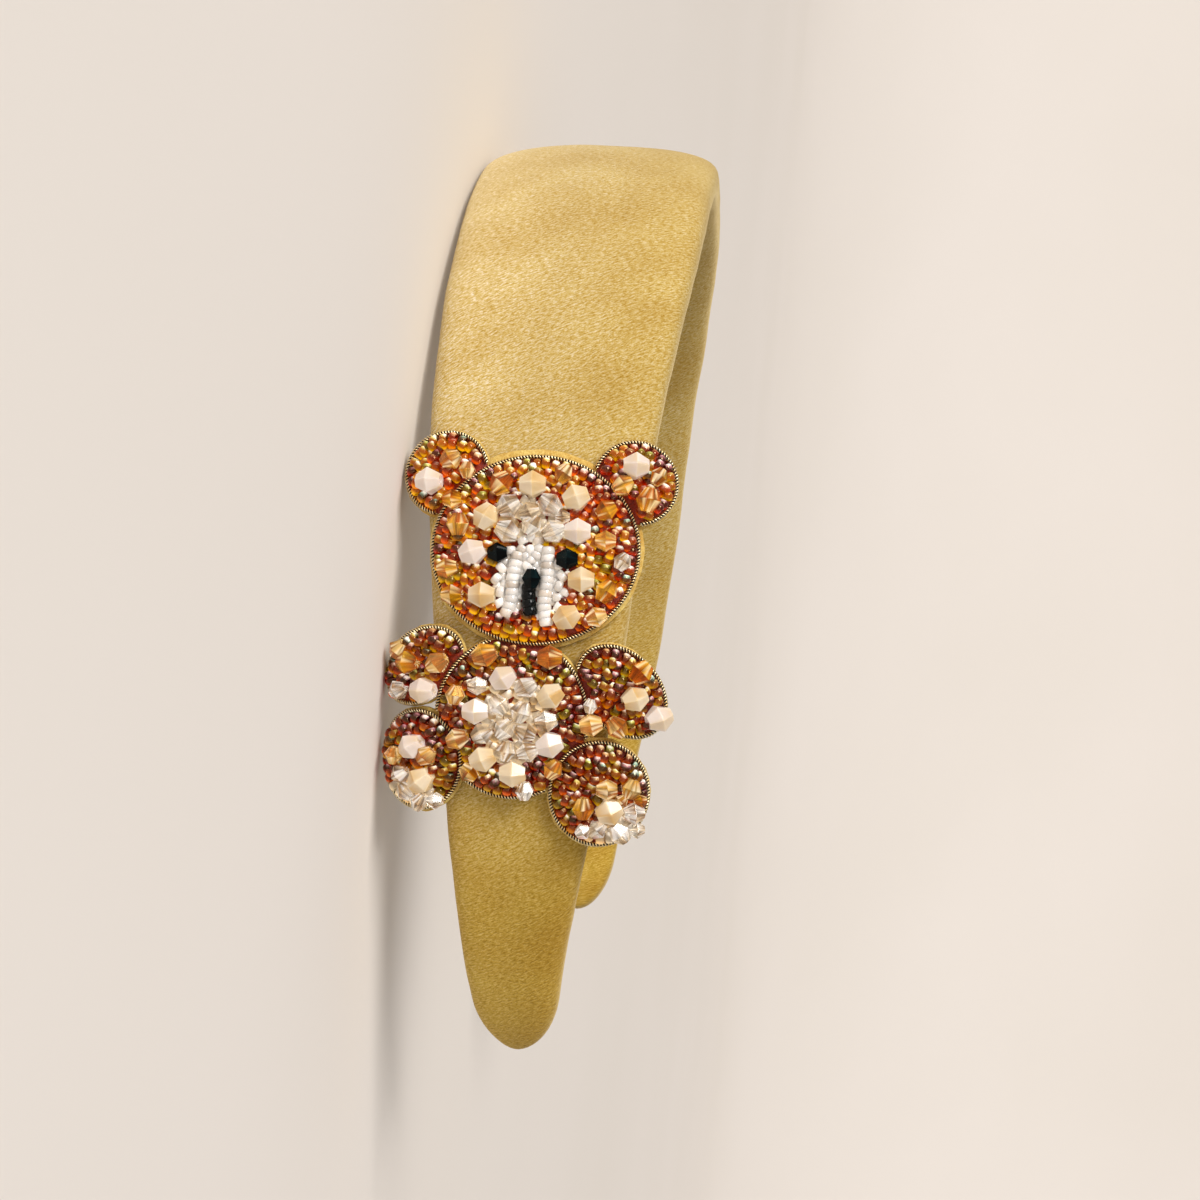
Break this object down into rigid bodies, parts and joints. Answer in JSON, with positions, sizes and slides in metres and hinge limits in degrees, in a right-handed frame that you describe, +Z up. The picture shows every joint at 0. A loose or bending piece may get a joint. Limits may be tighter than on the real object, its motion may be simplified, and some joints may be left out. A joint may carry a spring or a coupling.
{
  "type": "velvet headband",
  "caption": "Padded velvet headband, wide over the crown and narrowing to round tips, with a beaded teddy bear patch on one side.",
  "frame": {"origin": "middle of the overall box, on the surface that the band lies on", "axes": "+X from the crown towards the tips, -Y out of the side with the bear, +Z up, which is the wearer's front"},
  "size_m": [0.1899, 0.1804, 0.0585],
  "materials": {
    "velvet": "short golden velvet pile, matte with a soft sheen at the edges",
    "felt": "golden felt",
    "wire": "coiled antique brass wire",
    "amber_beads": "lustred amber and brown glass seed beads and bicones",
    "white_beads": "white lustred glass seed beads",
    "white_opal": "polished white opal glass",
    "cream_opal": "polished cream opal glass",
    "amber_glass": "polished clear amber glass",
    "black_glass": "polished black glass"
  },
  "bodies": {
    "root": {"velvet_band": "velvet", "felt_backing": "felt", "head_wire": "wire", "left_ear_wire": "wire", "right_ear_wire": "wire", "left_leg_wire": "wire", "right_leg_wire": "wire", "left_arm_wire": "wire", "right_arm_wire": "wire", "torso_wire_1": "wire", "torso_wire_2": "wire", "torso_wire_3": "wire", "head_beads": "amber_beads", "left_ear_beads": "amber_beads", "right_ear_beads": "amber_beads", "left_leg_beads": "amber_beads", "right_leg_beads": "amber_beads", "torso_beads": "amber_beads", "left_arm_beads": "amber_beads", "right_arm_beads": "amber_beads", "muzzle_beads": "white_beads", "white_opal_1": "white_opal", "white_opal_2": "white_opal", "white_opal_3": "white_opal", "white_opal_4": "white_opal", "white_opal_5": "white_opal", "white_opal_6": "white_opal", "white_opal_7": "white_opal", "white_opal_8": "white_opal", "white_opal_9": "white_opal", "white_opal_10": "white_opal", "cream_opal_1": "cream_opal", "cream_opal_2": "cream_opal", "cream_opal_3": "cream_opal", "cream_opal_4": "cream_opal", "cream_opal_5": "cream_opal", "cream_opal_6": "cream_opal", "cream_opal_7": "cream_opal", "cream_opal_8": "cream_opal", "cream_opal_9": "cream_opal", "cream_opal_10": "cream_opal", "cream_opal_11": "cream_opal", "cream_opal_12": "cream_opal", "amber_glass_1": "amber_glass", "amber_glass_2": "amber_glass", "amber_glass_3": "amber_glass", "amber_glass_4": "amber_glass", "amber_glass_5": "amber_glass", "amber_glass_6": "amber_glass", "amber_glass_7": "amber_glass", "amber_glass_8": "amber_glass", "amber_glass_9": "amber_glass", "amber_glass_10": "amber_glass", "amber_glass_11": "amber_glass", "amber_glass_12": "amber_glass", "amber_glass_13": "amber_glass", "black_glass_1": "black_glass", "black_glass_2": "black_glass", "black_glass_3": "black_glass"}
  },
  "joints": []
}
